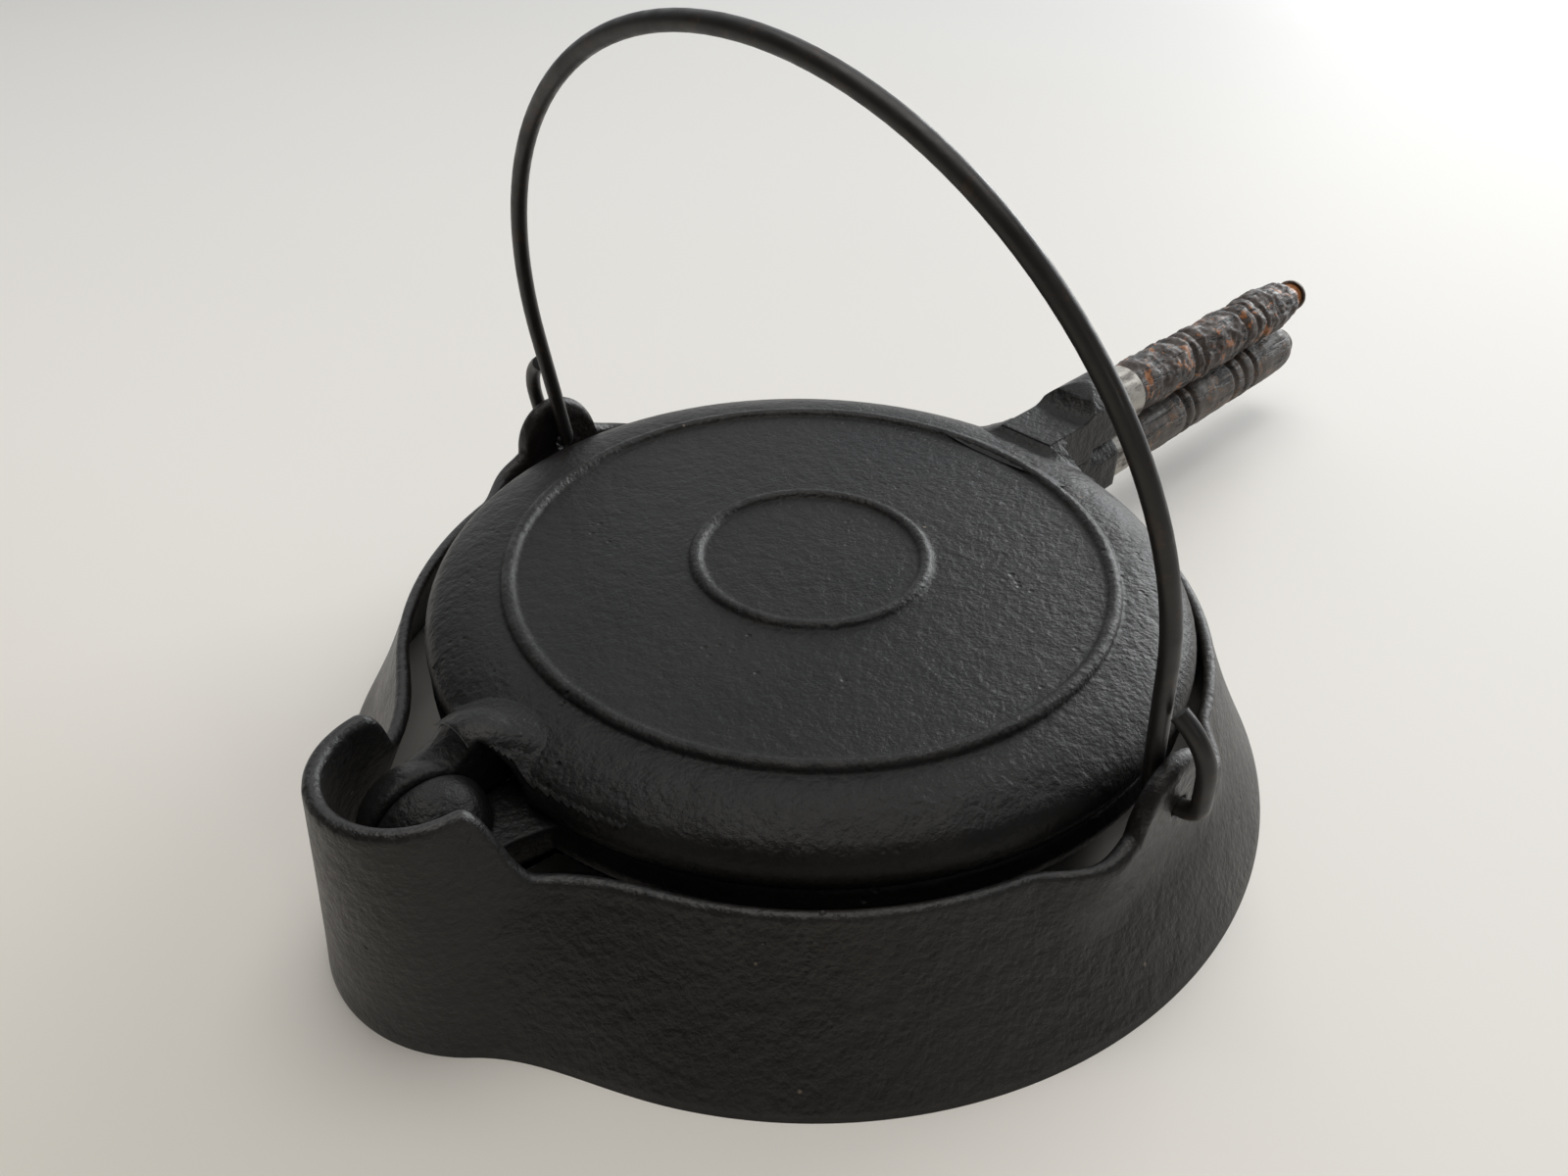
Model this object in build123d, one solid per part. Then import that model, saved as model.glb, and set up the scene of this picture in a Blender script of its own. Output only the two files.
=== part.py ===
from build123d import *
import math
import os

# Stovetop waffle iron. Millimetres, +Z up. The origin is the centre of the ring stand on the
# surface it stands on, and +X points to the handles. The two hinged pans turn over together on
# an axis along X, through the ball at the back and the notch at the front.

os.makedirs("parts", exist_ok=True)

# ---- driving dimensions ----

# clearances
CASTING_GAP = 0.3          # between castings that move on each other
RUNNING_FIT = 0.06         # radial, pin in its hole
SEAT_FIT = 0.1             # radial, rod in wood and iron
ARM_CLEARANCE = 0.9        # shank arm turning in the notch
RIM_CLEARANCE = 2.4        # pan turning inside the ring
WIRE_CLEARANCE = 0.25      # bail leg beside the ear
HOLE_CLEARANCE = 0.65      # radial, bail wire in the ear's hole
OVERCUT = 5.0              # how far a cutter runs past what it cuts

# pan
PAN_RADIUS = 94.0
PAN_WIDEST_HEIGHT = 4.0    # above the seam
PAN_OFFSET = 1.5           # pan centre ahead of the ring centre
RIM_DRAFT = 1.4            # the side draws in from its widest line to the seam
RIM_WIDTH = 10.0           # from the pan's edge in to the foot of its hollow
PLATE_HEIGHT = 14.2        # outer face above the seam
PLATE_THICKNESS = 3.0
SHOULDER_DROP = 0.5        # from the plate to the shoulder outside the bead
FLANK_SHARPNESS = 0.72     # share of the flank's fall that its small arc takes
BEAD_INSET = 20.5          # outer bead in from the pan's edge
INNER_BEAD_RADIUS = 28.4
BEAD_HALF_WIDTH = 1.9
BEAD_RISE = 1.4
CAVITY_DRAFT = 3.0         # radius gained from floor to rim

# waffle grid
STUD_HEIGHT = 6.2
GRID_MARGIN = 3.0          # from the outermost studs to the foot of the hollow
STUD_PITCH = 12.5
GROOVE_FLOOR = 3.5
GROOVE_TOP = 7.0
BAR_TOP = 4.0

# stand
SEAM_HEIGHT = 36.0         # the seam between the pans, and the axis they turn over on
RIM_BELOW_SEAM = 0.5
FOOT_SPREAD = 19.0         # foot beyond the rim
STAND_WALL = 3.0
SKIRT_HOLLOW = 0.8         # how far the skirt's line bows in

# ball, neck and hinge pin
BALL_BEHIND_PAN = 16.5     # ball centre behind the pan's edge
UPPER_BALL_RADIUS = 13.8
LOWER_BALL_RADIUS = 13.2
BALL_HALF_WIDTH = 11.5
BALL_EDGE_ROUND = 1.5
MATE_ROOM = 6.7            # between a ball and the hollow in the other half's hood
CREST_RISE = 2.4           # crest of the hood above the plate
CREST_AHEAD_OF_BALL = 12.5
PIN_RADIUS = 4.0
PIN_COVER = 3.5            # iron left beyond the pin's end

# hood and neck sections: behind the crest, shift to the hinge's side, half width, below the crest
HOOD_SECTIONS = (
    (-20.5, 0.0, 25.0, 3.3), (-10.5, 2.5, 16.5, 2.0), (-4.0, 4.5, 12.0, 0.2), (0.0, 5.0, 10.4, 0.6))
NECK_SECTIONS = (
    (0.0, 5.0, 10.4, 0.6), (2.0, 5.2, 9.8, 2.7), (5.0, 5.4, 9.2, 4.4), (10.5, 5.4, 7.6, 5.0))

# socket lobe
LOBE_RISE = 17.5           # above the stand's rim
LOBE_WALL = 3.7
BALL_ROOM = 2.0            # between ball and lobe
LOBE_FOOT_RADIUS = 37.0
LOBE_NOSE_BEHIND_BALL = 1.0
LOBE_FOOT_AHEAD_OF_BALL = 12.3
LOBE_TOP_ANGLE = 89.9      # half angle of the nose's arc at the rim
LOBE_FOOT_ANGLE = 47.0     # and at the foot
LOBE_TOP_FLARE = (13.5, 28.0)    # where the sides end, ahead of and beside the ball
LOBE_FOOT_FLARE = (2.0, 48.0)
LOBE_BITE = 30.0           # how far the lobe runs into the ring
SHOULDER_BEHIND_BALL = 4.0       # where the lobe's rim begins to fall
SHOULDER_RUN = 15.0
SHOULDER_MIDDLE = 0.56     # share of the run at which the fall turns
SEAT_HALF_WIDTH = 16.0
SEAT_BELOW_SEAM = 6.0
SEAT_FRONT_SETBACK = 3.0   # behind the ball's centre
SEAT_THICKNESS = 5.0
SEAT_SLOPE = 6.0           # how much deeper the seat is at its back

# arm and collar
ARM_HALF_WIDTH = 8.5
ARM_BELOW_PLATE = 0.2
ARM_LENGTH = 11.5          # from the pan's edge to the rise
RISE_TOE = (3.5, 1.3)      # a point on the rise, from where it starts
COLLAR_CREST_REACH = 25.5  # from the pan's edge to the collar's highest line
COLLAR_REACH = 34.5        # from the pan's edge to the collar's end
COLLAR_STEP = 0.2          # collar's end over the grip
COLLAR_SWELL = 1.6         # crest over the collar's end
CREST_SHOULDER = (7.0, 1.9)      # ahead of and below the crest, where its round turns
ROOT_BITE = 1.5
ROOT_FLARE = 7.0
FLARE_MIDDLE = (6.0, 2.0)  # a point on the flare, from its root
FLARE_SETBACK = 3.0        # from the flare's end to the rise

# handles
GRIP_RADIUS = 9.0
GRIP_GAP = 0.9             # between the two grips
FERRULE_LENGTH = 11.0
GRIP_LENGTH = 112.0
GRIP_SWELL = 0.5
GRIP_SWELL_RUN = 20.0
TENON_DEPTH = 0.8          # tenon under the grip's surface
FERRULE_WALL = 0.6
ROD_RADIUS = 2.4
ROD_THREAD_DEPTH = 12.0
PAIR_GROOVES = (33.5, 39.0)      # from the grip's shoulder
TRIPLE_GROOVES = (65.5, 72.5, 79.5)
GROOVE_HALF_WIDTH = 1.5
GROOVE_FLAT = 0.5          # half width of a groove's floor
GROOVE_DEPTH = 0.9
WASHER_RADIUS = 5.6
WASHER_THICKNESS = 1.0
WASHER_MARGIN = 0.2        # flat wood left round the washer
NUT_RADIUS = 4.2
NUT_HEIGHT = 2.6

# ears and bail
EAR_RISE = 6.7             # bail's axis above the stand's rim
EAR_STANDOFF = 1.1         # ear's inner face outside the ring
EAR_THICKNESS = 4.4
EAR_RADIUS = 13.0
EAR_FLANK = 30.0           # half width of the ear's swell on the skirt
EAR_RUN_OUT = 4.0          # beyond the swell, where the ear's outline meets the rim
EAR_DEPTH = 14.0           # how far the ear reaches down the skirt
EAR_HOLLOW = (9.0, 1.5)    # a point on the outline's hollow: beside the dome, above the rim
RIM_STEP = 1.0             # the climbing rim starts this far below the rim's top
RIM_RISE = 4.0             # how far the rim climbs to each ear
WIRE_RADIUS = 2.05
BAIL_LEG = 35.9            # ear axis to the start of the arch
BAIL_LEAN = 10.0           # degrees, towards the socket
EAR_PLAY = 2.7             # what the hook leaves beside the ear
HOOK_STRAIGHT = 12.0
HOOK_TIP_HEIGHT = 26.0
HOOK_TIP_GAP = 1.6         # leg's surface to the tip's centreline
HOOK_BEND = 3.0
BEND_OVERLAP = 0.6         # how much of the ear's hole the bends use

# notch
HORN_RISE = 6.5
HORN_WIDTH = 4.2           # half width of a horn's foot beside the notch
HORN_FOOT = (3.5, 4.0)     # outside the horn's half width, below the rim
HORN_MIDDLE = (0.8, 2.5)   # outside the horn's half width, above the rim
HORN_TOP_INSET = 3.2
HORN_PROUD = 0.2           # how far a horn stands out from the ring

# ---- derived places ----

HALF_GAP = CASTING_GAP / 2
FLOOR_HEIGHT = PLATE_HEIGHT - PLATE_THICKNESS
STUD_TOP = FLOOR_HEIGHT - STUD_HEIGHT
BEAD_RADIUS = PAN_RADIUS - BEAD_INSET
CAVITY_RADIUS = PAN_RADIUS - RIM_WIDTH
GRID_RADIUS = CAVITY_RADIUS - GRID_MARGIN
PAN_REACH = math.hypot(PAN_RADIUS, PAN_WIDEST_HEIGHT)
PAN_EDGE = PAN_OFFSET + PAN_RADIUS

ARM_TOP = PLATE_HEIGHT - ARM_BELOW_PLATE
RISE_START = PAN_EDGE + ARM_LENGTH
COLLAR_CREST_X = PAN_EDGE + COLLAR_CREST_REACH
COLLAR_END = PAN_EDGE + COLLAR_REACH
GRIP_HEIGHT = GRIP_RADIUS + GRIP_GAP / 2
COLLAR_RADIUS = GRIP_RADIUS + COLLAR_STEP
COLLAR_CREST = COLLAR_RADIUS + COLLAR_SWELL
GRIP_START = COLLAR_END + FERRULE_LENGTH
GRIP_END = GRIP_START + GRIP_LENGTH
TENON_RADIUS = GRIP_RADIUS - TENON_DEPTH

RING_INNER_RADIUS = PAN_REACH + RIM_CLEARANCE
RING_OUTER_RADIUS = RING_INNER_RADIUS + STAND_WALL
FOOT_RADIUS = RING_OUTER_RADIUS + FOOT_SPREAD
STAND_HEIGHT = SEAM_HEIGHT - RIM_BELOW_SEAM
LOBE_HEIGHT = STAND_HEIGHT + LOBE_RISE
NOTCH_RADIUS = math.hypot(ARM_HALF_WIDTH, ARM_TOP) + ARM_CLEARANCE
HORN_HALF_WIDTH = NOTCH_RADIUS + HORN_WIDTH

BALL_SETBACK = PAN_RADIUS - PAN_OFFSET + BALL_BEHIND_PAN
BALL_PLACE = Pos(-BALL_SETBACK, 0, 0)
CREST_SETBACK = BALL_SETBACK - CREST_AHEAD_OF_BALL
CREST_HEIGHT = PLATE_HEIGHT + CREST_RISE
HOLLOW_RADIUS = UPPER_BALL_RADIUS + MATE_ROOM
PIN_LENGTH = BALL_HALF_WIDTH - PIN_COVER
CUP_RADIUS = UPPER_BALL_RADIUS + CASTING_GAP
LOBE_TOP_RADIUS = UPPER_BALL_RADIUS + BALL_ROOM + LOBE_WALL

EAR_AXIS_HEIGHT = STAND_HEIGHT + EAR_RISE
EAR_INNER_FACE = RING_OUTER_RADIUS + EAR_STANDOFF
BAIL_RADIUS = EAR_INNER_FACE - WIRE_CLEARANCE - WIRE_RADIUS
HOOK_REACH = EAR_THICKNESS + 2 * WIRE_RADIUS + EAR_PLAY

UP = Pos(0, 0, SEAM_HEIGHT)
FROM_FOOT = (Align.CENTER, Align.CENTER, Align.MIN)


def stepped(curve, steps):
    """Short straight steps along a small curve, for edges too fine to need a true round."""
    points = [curve @ (step / steps) for step in range(steps + 1)]
    return Polyline(*[(point.X, point.Y) for point in points])


def quarter_lip(inner, outer, steps):
    """Quarter round from inner (x, y) to outer (x, y), in steps; it bulges up and to its side."""
    slant = math.sqrt(0.5)
    middle = (inner[0] + (outer[0] - inner[0]) * slant, outer[1] + (inner[1] - outer[1]) * slant)
    return stepped(ThreePointArc(inner, middle, outer), steps)


# ---- waffle pan and its arm ----

def bead(radius, drop):
    """Raised bead round the plate, falling to a level lower by drop outside it."""
    crest = (radius, PLATE_HEIGHT + BEAD_RISE)
    outside = (radius + BEAD_HALF_WIDTH, PLATE_HEIGHT - drop)
    return stepped(ThreePointArc((radius - BEAD_HALF_WIDTH, PLATE_HEIGHT), crest, outside), 5)


def flank(shoulder, widest):
    """Two tangent arcs, from the level shoulder round to the upright at the widest line."""
    run = widest[0] - shoulder[0]
    fall = shoulder[1] - widest[1]
    edge = FLANK_SHARPNESS * fall
    crown = (run ** 2 - 2 * run * edge + fall ** 2) / (2 * (fall - edge))
    across = run - edge
    rise = crown - fall
    reach = crown / math.hypot(across, rise)
    knee = (shoulder[0] + across * reach, widest[1] + rise * (reach - 1))
    over = TangentArc(shoulder, knee, tangent=(1, 0))
    return [over, TangentArc(knee, widest, tangent=over % 1)]


def pan_shell():
    """The round pan, turned from its section: beads, shoulder, rounded side, hollow inside."""
    inner_bead = bead(INNER_BEAD_RADIUS, 0)
    outer_bead = bead(BEAD_RADIUS, SHOULDER_DROP)
    widest = (PAN_RADIUS, PAN_WIDEST_HEIGHT)
    rim_face = (PAN_RADIUS - RIM_DRAFT, HALF_GAP)
    mouth = (CAVITY_RADIUS + CAVITY_DRAFT, HALF_GAP)
    profile = [
        Line((0, PLATE_HEIGHT), inner_bead @ 0),
        inner_bead,
        Line(inner_bead @ 1, outer_bead @ 0),
        outer_bead,
        *flank((BEAD_RADIUS + BEAD_HALF_WIDTH, PLATE_HEIGHT - SHOULDER_DROP), widest),
        Line(widest, rim_face),
        Line(rim_face, mouth),
        Line(mouth, (CAVITY_RADIUS, FLOOR_HEIGHT)),
        Line((CAVITY_RADIUS, FLOOR_HEIGHT), (0, FLOOR_HEIGHT)),
        Line((0, FLOOR_HEIGHT), (0, PLATE_HEIGHT)),
    ]
    section = Plane.XZ * make_face(profile)
    return Pos(PAN_OFFSET, 0, 0) * revolve(section, Axis.Z)


def tapered_bar(half_top, half_floor, length):
    """A bar along X with sloping sides, standing on the pan's floor."""
    section = Plane.YZ * Polygon(
        (-half_top, STUD_TOP),
        (half_top, STUD_TOP),
        (half_floor, FLOOR_HEIGHT),
        (-half_floor, FLOOR_HEIGHT),
        align=None,
    )
    return extrude(section, length / 2, both=True)


def waffle_grid():
    """Square studs left between two crossing sets of tapered grooves, with a dividing cross."""
    taper = (GROOVE_TOP - GROOVE_FLOOR) / 2
    middle = Pos(PAN_OFFSET, 0, (STUD_TOP + FLOOR_HEIGHT) / 2)
    field = middle * Cone(GRID_RADIUS - taper, GRID_RADIUS, STUD_HEIGHT)
    bar_floor = BAR_TOP / 2 + taper
    channel_floor = bar_floor + GROOVE_FLOOR
    channel = tapered_bar(channel_floor + taper, channel_floor, 2 * GRID_RADIUS)
    groove = tapered_bar(GROOVE_TOP / 2, GROOVE_FLOOR / 2, 2 * GRID_RADIUS)
    first = channel_floor + STUD_PITCH - GROOVE_FLOOR / 2
    rows = int((GRID_RADIUS - first) / STUD_PITCH) + 1
    cutters = [channel]
    for row in range(rows):
        offset = first + row * STUD_PITCH
        cutters += [Pos(0, offset, 0) * groove, Pos(0, -offset, 0) * groove]
    crossing = [Rot(0, 0, 90) * cutter for cutter in cutters]
    studs = field - [Pos(PAN_OFFSET, 0, 0) * cutter for cutter in cutters + crossing]
    bar = tapered_bar(BAR_TOP / 2, bar_floor, 2 * GRID_RADIUS)
    cross = Pos(PAN_OFFSET, 0, 0) * (bar + Rot(0, 0, 90) * bar)
    return studs, cross & field


def arm_outline(root):
    """Side view of the arm: level top, steep rise, round crest and the collar's end."""
    crest = GRIP_HEIGHT + COLLAR_CREST
    end_top = (COLLAR_END, GRIP_HEIGHT + COLLAR_RADIUS)
    turn = (COLLAR_CREST_X - CREST_SHOULDER[0], crest - CREST_SHOULDER[1])
    toe = (RISE_START + RISE_TOE[0], ARM_TOP + RISE_TOE[1])
    return make_face([
        Line((root, HALF_GAP), (COLLAR_END, HALF_GAP)),
        Line((COLLAR_END, HALF_GAP), end_top),
        ThreePointArc(end_top, (COLLAR_CREST_X, crest), turn),
        ThreePointArc(turn, toe, (RISE_START, ARM_TOP)),
        Line((RISE_START, ARM_TOP), (root, ARM_TOP)),
        Line((root, ARM_TOP), (root, HALF_GAP)),
    ])


def arm_plan(root, flare_end):
    """Plan of the arm's +Y half: flare at the root, flat side, swell to the collar."""
    wide = ARM_HALF_WIDTH + ROOT_FLARE
    return make_face([
        ThreePointArc((root, wide), (root + FLARE_MIDDLE[0], ARM_HALF_WIDTH + FLARE_MIDDLE[1]),
                      (flare_end, ARM_HALF_WIDTH)),
        Line((flare_end, ARM_HALF_WIDTH), (COLLAR_CREST_X, COLLAR_RADIUS)),
        Line((COLLAR_CREST_X, COLLAR_RADIUS), (COLLAR_END, COLLAR_RADIUS)),
        Line((COLLAR_END, COLLAR_RADIUS), (COLLAR_END, 0)),
        Line((COLLAR_END, 0), (root, 0)),
        Line((root, 0), (root, wide)),
    ])


def shank_arm():
    """Flat-sided arm that swells into the round collar of the handle."""
    root = PAN_OFFSET + CAVITY_RADIUS + CAVITY_DRAFT + ROOT_BITE
    flare_end = RISE_START - FLARE_SETBACK
    width = 2 * (ARM_HALF_WIDTH + ROOT_FLARE)
    side = extrude(Plane.XZ * arm_outline(root), width, both=True)
    half_plan = arm_plan(root, flare_end)
    arm = side & extrude(half_plan + mirror(half_plan, Plane.XZ), 2 * COLLAR_CREST + GRIP_HEIGHT)
    # above the pan's side the arm keeps its own width
    for side_sign in (1, -1):
        wing = Box(flare_end - root, ROOT_FLARE, ARM_TOP, align=(Align.MIN, Align.CENTER, Align.MIN))
        arm -= Pos(root, side_sign * (ARM_HALF_WIDTH + ROOT_FLARE / 2), PAN_WIDEST_HEIGHT + 1) * wing
    from_root = (Align.MIN, Align.CENTER, Align.MIN)
    flat_part = Pos(root, 0, 0) * Box(COLLAR_CREST_X - CREST_SHOULDER[0] - root, width, ARM_TOP,
                                      align=from_root)
    round_part = along_grip(RISE_START, COLLAR_END - RISE_START, COLLAR_CREST)
    arm = arm & (round_part + flat_part)
    return arm - along_grip(COLLAR_END - ROD_THREAD_DEPTH, ROD_THREAD_DEPTH, ROD_RADIUS + SEAT_FIT)


def half_oval(behind_crest, shift, half_width, below_crest):
    """Half oval section across X, standing on the seam."""
    curve = EllipticalCenterArc(
        (shift, HALF_GAP), half_width, CREST_HEIGHT - below_crest - HALF_GAP, start_angle=0, arc_size=180)
    section = Plane.YZ * make_face([curve, Line(curve @ 1, curve @ 0)])
    return Pos(-CREST_SETBACK - behind_crest, 0, 0) * section


def half_ball(radius):
    """Half ball with a flat face on the seam side and a rounded flat on its outer side."""
    own_side = Pos(0, HALF_GAP, 0) * Box(
        2 * radius, BALL_HALF_WIDTH - HALF_GAP, 2 * radius, align=(Align.CENTER, Align.MIN, Align.CENTER))
    ball = Sphere(radius) & own_side
    return BALL_PLACE * fillet(ball.faces().sort_by(Axis.Y)[-1].edges(), BALL_EDGE_ROUND)


def casting(ball_radius, has_pin):
    """One half of the iron above the seam; the other half is the same turned over about X."""
    studs, cross = waffle_grid()
    hood = loft([half_oval(*section) for section in HOOD_SECTIONS])
    neck = loft([half_oval(*section) for section in NECK_SECTIONS])
    body = pan_shell() + shank_arm() + hood + neck
    body -= Pos(PAN_OFFSET, 0, (FLOOR_HEIGHT + HALF_GAP) / 2) * Cone(
        CAVITY_RADIUS + CAVITY_DRAFT, CAVITY_RADIUS, FLOOR_HEIGHT - HALF_GAP)
    other_side = Pos(0, HALF_GAP, 0) * Box(
        2 * HOLLOW_RADIUS, HOLLOW_RADIUS, 2 * HOLLOW_RADIUS, align=(Align.CENTER, Align.MAX, Align.CENTER))
    mate_room = BALL_PLACE * (Sphere(HOLLOW_RADIUS) & other_side)
    body = body - mate_room + half_ball(ball_radius) + studs + cross
    if has_pin:
        root = HALF_GAP + CASTING_GAP
        pin = Pos(0, root, 0) * Rot(90, 0, 0) * Cylinder(PIN_RADIUS, PIN_LENGTH + root, align=FROM_FOOT)
        return body + BALL_PLACE * pin
    hole = Rot(-90, 0, 0) * Cylinder(PIN_RADIUS + RUNNING_FIT, PIN_LENGTH + CASTING_GAP, align=FROM_FOOT)
    return body - BALL_PLACE * hole


# ---- stand ----

def lobe_section(height, nose_setback, radius, half_angle, flare, inset):
    """Plan of the socket lobe at one height: round nose, flared sides, open towards the ring."""
    angle = math.radians(half_angle)
    nose_y = radius * math.sin(angle)
    nose_x = -nose_setback - radius * math.cos(angle)
    leave = (math.sin(angle), math.cos(angle))
    flare_x = flare[0] - BALL_SETBACK
    flare_y = flare[1]
    front = LOBE_BITE - BALL_SETBACK
    outline = make_face([
        ThreePointArc((nose_x, nose_y), (-nose_setback - radius, 0), (nose_x, -nose_y)),
        TangentArc((nose_x, nose_y), (flare_x, flare_y), tangent=leave),
        Line((flare_x, flare_y), (front, flare_y)),
        Line((front, flare_y), (front, -flare_y)),
        Line((front, -flare_y), (flare_x, -flare_y)),
        TangentArc((nose_x, -nose_y), (flare_x, -flare_y), tangent=(leave[0], -leave[1])),
    ])
    if inset:
        outline = offset(outline, -inset, kind=Kind.INTERSECTION)
    return Pos(0, 0, height) * outline


def lobe(inset):
    """The lobe as a solid from the foot up to its rim; inset makes the hollow inside it."""
    foot = lobe_section(0, BALL_SETBACK - LOBE_FOOT_AHEAD_OF_BALL, LOBE_FOOT_RADIUS, LOBE_FOOT_ANGLE,
                        LOBE_FOOT_FLARE, inset)
    top = lobe_section(LOBE_HEIGHT, BALL_SETBACK + LOBE_NOSE_BEHIND_BALL, LOBE_TOP_RADIUS, LOBE_TOP_ANGLE,
                       LOBE_TOP_FLARE, inset)
    return loft([foot, top], ruled=True)


def lobe_rim_cut():
    """Removes what lies above the rim where it falls from the lobe's shoulders to the ring."""
    shoulder = -BALL_SETBACK - SHOULDER_BEHIND_BALL
    start = (shoulder, LOBE_HEIGHT)
    middle = (shoulder + SHOULDER_MIDDLE * SHOULDER_RUN, (LOBE_HEIGHT + STAND_HEIGHT) / 2)
    end = (shoulder + SHOULDER_RUN, STAND_HEIGHT)
    fall = TangentArc(start, middle, tangent=(1, 0))
    land = TangentArc(middle, end, tangent=fall % 1)
    front = LOBE_BITE + OVERCUT - BALL_SETBACK
    over = LOBE_HEIGHT + OVERCUT
    outline = make_face([
        fall,
        land,
        Line(end, (front, STAND_HEIGHT)),
        Line((front, STAND_HEIGHT), (front, over)),
        Line((front, over), (shoulder, over)),
        Line((shoulder, over), start),
    ])
    return extrude(Plane.XZ * outline, 2 * LOBE_FOOT_RADIUS, both=True)


def ring_side(foot_radius, rim_radius):
    """The skirt's line from foot to rim, with its slight inward bow."""
    middle = ((foot_radius + rim_radius) / 2 - SKIRT_HOLLOW, STAND_HEIGHT / 2)
    return ThreePointArc((foot_radius, 0), middle, (rim_radius, STAND_HEIGHT - STAND_WALL / 2))


def ring_outside():
    side = ring_side(FOOT_RADIUS, RING_OUTER_RADIUS)
    crest = (RING_OUTER_RADIUS - STAND_WALL / 2, STAND_HEIGHT)
    lip = quarter_lip(crest, (RING_OUTER_RADIUS, STAND_HEIGHT - STAND_WALL / 2), 3)
    section = make_face([
        side,
        lip,
        Line(crest, (0, STAND_HEIGHT)),
        Line((0, STAND_HEIGHT), (0, 0)),
        Line((0, 0), (FOOT_RADIUS, 0)),
    ])
    return revolve(Plane.XZ * section, Axis.Z)


def ring_inside():
    side = ring_side(FOOT_RADIUS - STAND_WALL, RING_INNER_RADIUS)
    crest = (RING_INNER_RADIUS + STAND_WALL / 2, STAND_HEIGHT)
    lip = quarter_lip(crest, (RING_INNER_RADIUS, STAND_HEIGHT - STAND_WALL / 2), 3)
    over = LOBE_HEIGHT + OVERCUT
    section = make_face([
        side,
        lip,
        Line(crest, (crest[0], over)),
        Line((crest[0], over), (0, over)),
        Line((0, over), (0, 0)),
        Line((0, 0), side @ 0),
    ])
    return revolve(Plane.XZ * section, Axis.Z)


def ear_plate(bottom, rim_line):
    """Side view of the ear: a dome round the hole, hollow flanks running out along the rim."""
    reach = EAR_FLANK + EAR_RUN_OUT
    hollow = (EAR_RADIUS + EAR_HOLLOW[0], STAND_HEIGHT + EAR_HOLLOW[1])
    return make_face([
        ThreePointArc((-EAR_RADIUS, EAR_AXIS_HEIGHT), (0, EAR_AXIS_HEIGHT + EAR_RADIUS),
                      (EAR_RADIUS, EAR_AXIS_HEIGHT)),
        ThreePointArc((EAR_RADIUS, EAR_AXIS_HEIGHT), hollow, (reach, rim_line)),
        Line((reach, rim_line), (reach, bottom)),
        Line((reach, bottom), (-reach, bottom)),
        Line((-reach, bottom), (-reach, rim_line)),
        ThreePointArc((-reach, rim_line), (-hollow[0], hollow[1]), (-EAR_RADIUS, EAR_AXIS_HEIGHT)),
    ])


def rim_climb(bottom, rim_line):
    """Side view of the rim, climbing in one low arc to the ear."""
    reach = EAR_FLANK + EAR_RUN_OUT
    return make_face([
        ThreePointArc((-reach, rim_line), (0, rim_line + RIM_RISE), (reach, rim_line)),
        Line((reach, rim_line), (reach, bottom)),
        Line((reach, bottom), (-reach, bottom)),
        Line((-reach, bottom), (-reach, rim_line)),
    ])


def ear():
    """Ear on the +Y side: a domed plate swelling out of the skirt, with the rim climbing to it."""
    bottom = STAND_HEIGHT - EAR_DEPTH
    rim_line = STAND_HEIGHT - RIM_STEP
    tall = EAR_DEPTH + EAR_RISE + EAR_RADIUS
    outer_face = EAR_INNER_FACE + EAR_THICKNESS
    flank_y = math.sqrt((RING_OUTER_RADIUS + 1) ** 2 - EAR_FLANK ** 2)
    swell_centre = (outer_face ** 2 - flank_y ** 2 - EAR_FLANK ** 2) / (2 * (outer_face - flank_y))
    swell = Pos(0, swell_centre, bottom) * Cylinder(outer_face - swell_centre, tall, align=FROM_FOOT)
    plate = extrude(Plane.XZ * ear_plate(bottom, rim_line), -EAR_THICKNESS - OVERCUT)
    climb = extrude(Plane.XZ * rim_climb(bottom, rim_line), EAR_THICKNESS + 3 * OVERCUT)
    inside = Pos(0, 0, bottom) * Cylinder(RING_INNER_RADIUS + STAND_WALL / 5, tall, align=FROM_FOOT)
    filling = Pos(0, EAR_INNER_FACE + HALF_GAP, 0) * climb - inside
    return (Pos(0, EAR_INNER_FACE, 0) * plate + filling) & swell


def ear_hole():
    length = EAR_THICKNESS + 2 * OVERCUT
    return Pos(0, EAR_INNER_FACE - OVERCUT, EAR_AXIS_HEIGHT) * Rot(-90, 0, 0) * Cylinder(
        WIRE_RADIUS + HOLE_CLEARANCE, length, align=FROM_FOOT)


def horns():
    """Raised lips either side of the notch, standing on the ring's wall."""
    foot = (HORN_HALF_WIDTH + HORN_FOOT[0], STAND_HEIGHT - HORN_FOOT[1])
    middle = (HORN_HALF_WIDTH + HORN_MIDDLE[0], STAND_HEIGHT + HORN_MIDDLE[1])
    top = (HORN_HALF_WIDTH - HORN_TOP_INSET, STAND_HEIGHT + HORN_RISE)
    outline = make_face([
        Line((-foot[0], foot[1]), foot),
        ThreePointArc(foot, middle, top),
        Line(top, (-top[0], top[1])),
        ThreePointArc((-top[0], top[1]), (-middle[0], middle[1]), (-foot[0], foot[1])),
    ])
    block = extrude(Plane.YZ * outline, FOOT_RADIUS)
    tall = HORN_RISE + HORN_FOOT[1] + OVERCUT
    wall = Cylinder(RING_OUTER_RADIUS + HORN_PROUD, tall, align=FROM_FOOT) - Cylinder(
        RING_INNER_RADIUS + HORN_PROUD, tall, align=FROM_FOOT)
    return block & (Pos(0, 0, foot[1] - 1) * wall)


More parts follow.
